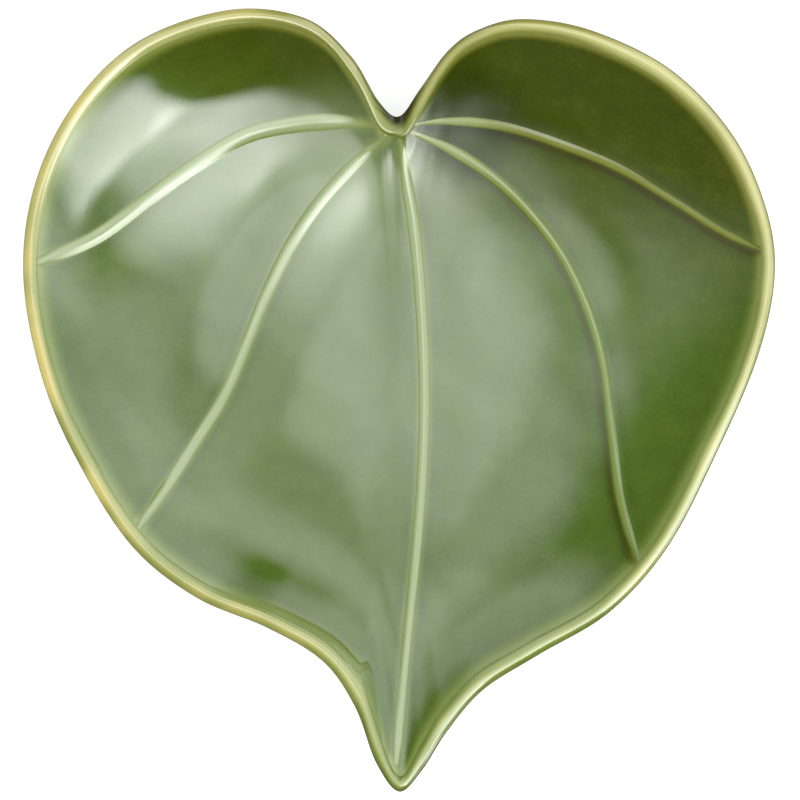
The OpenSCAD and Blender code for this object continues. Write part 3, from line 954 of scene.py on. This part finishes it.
def makeStudio():
    world = bpy.data.worlds.new("studio")
    bpy.context.scene.world = world
    world.use_nodes = True
    tree = world.node_tree
    tree.nodes.clear()
    facing = addNode(tree, "ShaderNodeTexCoord").outputs["Generated"]
    glows = []
    for panel in studio["panels"].values():
        placed = addNode(tree, "ShaderNodeMapping", {
            "Vector": facing, "Location": (*panel["at"], 0),
            "Rotation": (0, 0, math.radians(panel["turn"])), "Scale": (*panel["half"], 1)},
            vector_type="TEXTURE").outputs["Vector"]
        axes = axesOf(tree, placed)
        sides = [remap(tree, calc(tree, "ABSOLUTE", axes[axis]), 1 - soft, 1 + soft, 1, 0)
                 for axis, soft in zip(("X", "Y"), panel["soft"])]
        glows.append(gather(tree, "MULTIPLY", *sides, panel["glow"]))
    glow = calc(tree, "MAXIMUM", gather(tree, "ADD", *glows, studio["surround"]), 0)
    sky = remap(tree, axesOf(tree, facing)["Z"], *studio["horizon"])
    ground = calc(tree, "MULTIPLY", calc(tree, "SUBTRACT", 1, sky), studio["below"])
    glow = calc(tree, "ADD", calc(tree, "MULTIPLY", glow, sky), ground)
    mirrored = addNode(tree, "ShaderNodeBackground", {
        "Color": (*studio["mirrored"], 1), "Strength": glow})
    daylight = addNode(tree, "ShaderNodeBackground", {"Color": (*studio["daylight"], 1)})
    path = addNode(tree, "ShaderNodeLightPath")
    mix = addNode(tree, "ShaderNodeMixShader", {
        0: path.outputs["Is Glossy Ray"], 1: daylight.outputs[0], 2: mirrored.outputs[0]})
    addNode(tree, "ShaderNodeOutputWorld", {"Surface": mix.outputs[0]})


# Soft lamps that light the dish but aren't seen in its gloss, in metres and watts
lamps = {
    "softKey": {"at": (.55, -.60, .95), "size": .9, "power": 5},
    "softTop": {"at": (-.10, .25, 1.3), "size": 1.2, "power": 3},
}


def makeLamps():
    for name, lamp in lamps.items():
        light = bpy.data.lights.new(name, "AREA")
        light.shape = "SQUARE"
        light.size = lamp["size"]
        light.energy = lamp["power"]
        holder = bpy.data.objects.new(name, light)
        bpy.context.scene.collection.objects.link(holder)
        holder.location = lamp["at"]
        holder.rotation_mode = "QUATERNION"
        holder.rotation_quaternion = (-holder.location).to_track_quat("-Z", "Y")
        holder.visible_glossy = False
        holder.visible_camera = False


# A plain pale table, half its width in metres. Its glow keeps the dish's shadow pale
table = {"half": 4, "colour": (.86, .86, .85), "glow": .55, "roughness": .9,
         "clouds": {"scale": 3, "detail": 2, "tone": (.3, .7, .97, 1)}}


def makeTable():
    bm = bmesh.new()
    bmesh.ops.create_grid(bm, x_segments=1, y_segments=1, size=table["half"])
    mesh = bpy.data.meshes.new("paleTable")
    bm.to_mesh(mesh)
    bm.free()
    material, tree = newMaterial("paleTable")
    clouds = noiseAt(tree, objectPlace(tree), table["clouds"])
    tone = remap(tree, clouds, *table["clouds"]["tone"])
    colour = mixColours(tree, 1, (*table["colour"], 1), tone, "MULTIPLY")
    shader = addNode(tree, "ShaderNodeBsdfPrincipled", {
        "Base Color": colour, "Roughness": table["roughness"], "Emission Color": (1, 1, 1, 1),
        "Emission Strength": table["glow"], "Specular IOR Level": 0})
    addNode(tree, "ShaderNodeOutputMaterial", {"Surface": shader.outputs["BSDF"]})
    mesh.materials.append(material)
    floor = bpy.data.objects.new("paleTable", mesh)
    bpy.context.scene.collection.objects.link(floor)
    floor.visible_glossy = False


# Straight above the dish, with the photograph's 800 pixels across the rim's plane.
# Lengths are in millimetres, but the farthest that is seen is in metres
view = {"lens": 200, "sensor": 36, "frameWidth": 244.2, "centre": (.3, 0), "rimPlane": 30,
        "farthest": 20}


def makeCamera():
    data = bpy.data.cameras.new("overheadCamera")
    data.lens = view["lens"]
    data.sensor_width = view["sensor"]
    data.clip_end = view["farthest"]
    camera = bpy.data.objects.new("overheadCamera", data)
    bpy.context.scene.collection.objects.link(camera)
    away = view["frameWidth"] * view["lens"] / view["sensor"]
    camera.location = (view["centre"][0] * mm, view["centre"][1] * mm,
                       (view["rimPlane"] + away) * mm)
    bpy.context.scene.camera = camera


makeStudio()
makeLamps()
makeTable()
makeCamera()
bpy.context.scene.view_settings.view_transform = "Standard"
print("studio lit")
